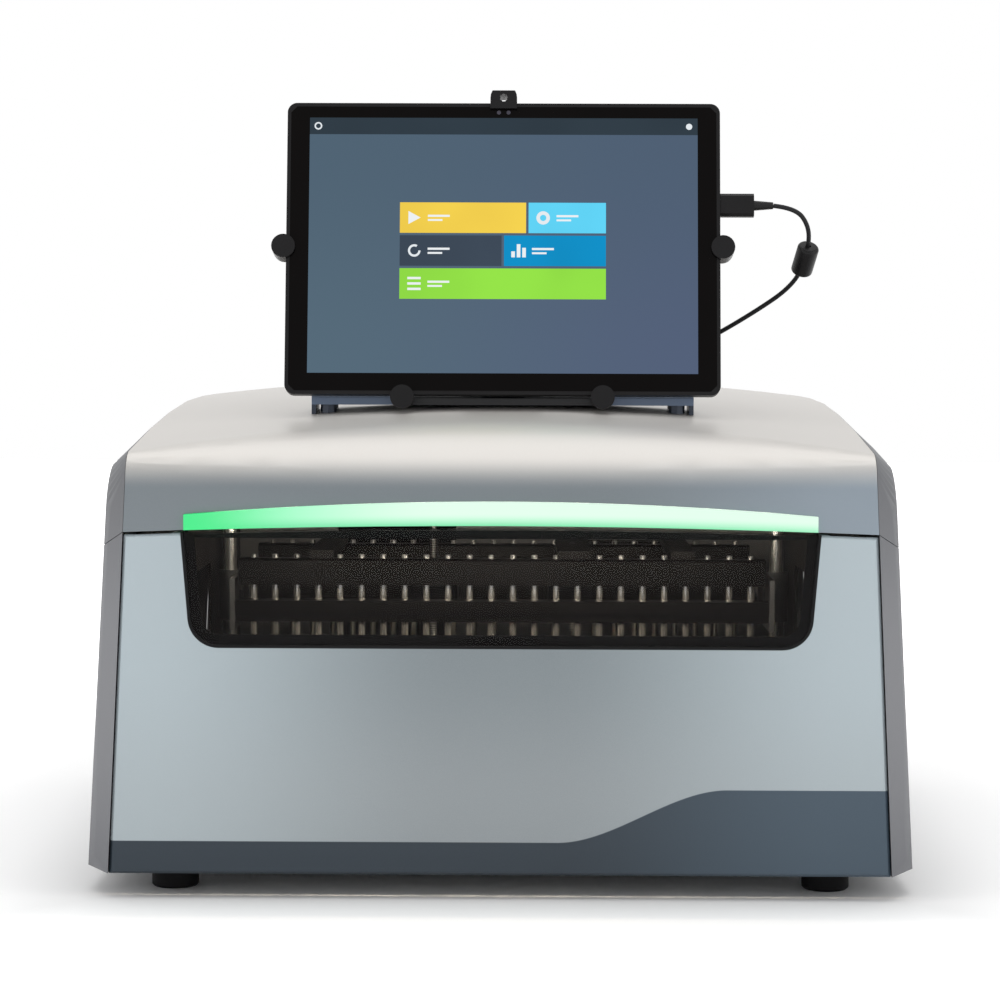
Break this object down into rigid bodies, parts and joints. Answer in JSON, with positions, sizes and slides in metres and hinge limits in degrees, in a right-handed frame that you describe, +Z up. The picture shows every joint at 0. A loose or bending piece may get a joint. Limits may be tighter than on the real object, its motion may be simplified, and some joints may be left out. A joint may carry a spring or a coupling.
{
  "type": "nucleic acid extractor",
  "caption": "Bench-top magnetic-rod nucleic acid extractor with a tinted-window door that lifts as the tray deck slides out, a lit bar and a tilting tablet on the hood",
  "frame": {"origin": "on the table plane under the middle of the body, cable left out", "axes": "+X to the right seen from the front, +Y to the back, +Z up"},
  "size_m": [0.656, 0.643, 0.6444],
  "materials": {
    "silver_shell": "satin silver paint on a moulded shell",
    "graphite_shell": "satin graphite paint on a moulded shell",
    "light_diffuser": "milky light-guide bar lit green",
    "coated_sheet": "grey powder coat on sheet steel",
    "rubber": "moulded black rubber",
    "inner_panel": "dark grey moulded panel",
    "tinted_pane": "smoke-tinted clear pane",
    "bright_steel": "ground bright steel",
    "machined_aluminium": "machined anodised aluminium",
    "glass_tube": "quartz lamp tube",
    "motor_black": "black motor casing",
    "tray_plastic": "white moulded tray",
    "black_plastic": "black moulded plastic",
    "screen_glass": "cover glass over a lit display",
    "slate_plastic": "slate blue coated stand",
    "circuit_board": "green circuit board"
  },
  "bodies": {
    "root": {"hood_shell": "silver_shell", "hood_cheek_left": "graphite_shell", "hood_cheek_right": "graphite_shell", "side_panel_left": "graphite_shell", "side_panel_right": "graphite_shell", "light_bar": "light_diffuser", "rear_panel": "coated_sheet", "base_pan": "coated_sheet", "rubber_feet": "rubber", "hinge_arms": "coated_sheet", "frame_plates": "coated_sheet", "head_bridge": "machined_aluminium", "shaft_brackets": "coated_sheet", "guide_shafts": "bright_steel", "lift_screw": "bright_steel", "slide_outer": "bright_steel", "fan_frame": "black_plastic", "power_inlet": "black_plastic", "rocker_frame": "black_plastic", "power_supply": "coated_sheet", "control_board": "circuit_board", "board_posts": "machined_aluminium", "holder_stand": "slate_plastic", "cable_gland": "rubber", "link_cable": "black_plastic", "link_ferrite": "black_plastic", "uv_tube": "glass_tube", "uv_lamp_holders": "black_plastic"},
    "door": {"door_shell": "silver_shell", "door_liner": "inner_panel", "door_window": "tinted_pane", "window_gasket": "rubber", "door_hinge_pins": "bright_steel"},
    "plunger": {"plunger_bars": "machined_aluminium", "carriage_ends": "machined_aluminium", "carriage_beam": "machined_aluminium", "lift_motors": "motor_black"},
    "magnet": {"magnet_bars": "machined_aluminium", "magnet_rods": "bright_steel", "magnet_rails": "machined_aluminium", "magnet_screw": "bright_steel"},
    "platform": {"platform_plate": "coated_sheet", "heater_plate": "machined_aluminium", "deck_tray_front": "tray_plastic", "deck_tray_rear": "tray_plastic", "slide_inner": "bright_steel"},
    "slide_mid": {"slide_middle": "bright_steel"},
    "fan": {"fan_rotor": "black_plastic"},
    "rocker": {"power_rocker": "black_plastic"},
    "tablet": {"tablet_body": "black_plastic", "tablet_glass": "screen_glass", "holder_back": "black_plastic", "claws_bottom": "black_plastic", "tilt_pin": "bright_steel", "link_plug": "black_plastic"},
    "grip_top": {"claw_top": "black_plastic"},
    "grip_left": {"claw_left": "black_plastic"},
    "grip_right": {"claw_right": "black_plastic"},
    "tablet_power": {"tablet_power_button": "black_plastic"},
    "tablet_volume": {"tablet_volume_rocker": "black_plastic"}
  },
  "joints": [
    {"name": "platform_slide", "type": "slide", "parent": "root", "child": "platform", "axis": [0, -1, 0], "range_m": [0, 0.345]},
    {"name": "slide_follow", "type": "slide", "parent": "root", "child": "slide_mid", "axis": [0, -1, 0], "range_m": [0, 0.1725]},
    {"name": "door_swing", "type": "hinge", "parent": "root", "child": "door", "pos_m": [0, -0.3125, 0.2825], "axis": [-1, 0, 0], "range_deg": [0, 90]},
    {"name": "plunger_lift", "type": "slide", "parent": "root", "child": "plunger", "axis": [0, 0, 1], "range_m": [-0.045, 0]},
    {"name": "magnet_lift", "type": "slide", "parent": "plunger", "child": "magnet", "axis": [0, 0, 1], "range_m": [-0.012, 0.045]},
    {"name": "fan_spin", "type": "hinge", "parent": "root", "child": "fan", "pos_m": [0.12, 0.2985, 0.2], "axis": [0, 1, 0], "continuous": true},
    {"name": "power_switch", "type": "hinge", "parent": "root", "child": "rocker", "pos_m": [-0.205, 0.3135, 0.118], "axis": [1, 0, 0], "range_deg": [0, 20]},
    {"name": "tablet_tilt", "type": "hinge", "parent": "root", "child": "tablet", "pos_m": [0, -0.162, 0.404], "axis": [-1, 0, 0], "range_deg": [0, 16]},
    {"name": "claw_top_pull", "type": "slide", "parent": "tablet", "child": "grip_top", "axis": [0, 0.1599, 0.9871], "range_m": [0, 0.012], "stiffness_N_per_m": 500, "springref_m": -0.006},
    {"name": "claw_left_pull", "type": "slide", "parent": "tablet", "child": "grip_left", "axis": [-1, 0, 0], "range_m": [0, 0.012], "stiffness_N_per_m": 500, "springref_m": -0.006},
    {"name": "claw_right_pull", "type": "slide", "parent": "tablet", "child": "grip_right", "axis": [1, 0, 0], "range_m": [0, 0.012], "stiffness_N_per_m": 500, "springref_m": -0.006},
    {"name": "tablet_power_press", "type": "slide", "parent": "tablet", "child": "tablet_power", "axis": [0, -0.1599, -0.9871], "range_m": [0, 0.0005], "stiffness_N_per_m": 800, "springref_m": -0.001},
    {"name": "tablet_volume_press", "type": "slide", "parent": "tablet", "child": "tablet_volume", "axis": [0, -0.1599, -0.9871], "range_m": [0, 0.0005], "stiffness_N_per_m": 800, "springref_m": -0.001}
  ],
  "couplings": [
    {"joint": "slide_follow", "follows": "platform_slide", "ratio": 0.5},
    {"joint": "door_swing", "follows": "platform_slide", "rad_per_m": 4.553}
  ]
}
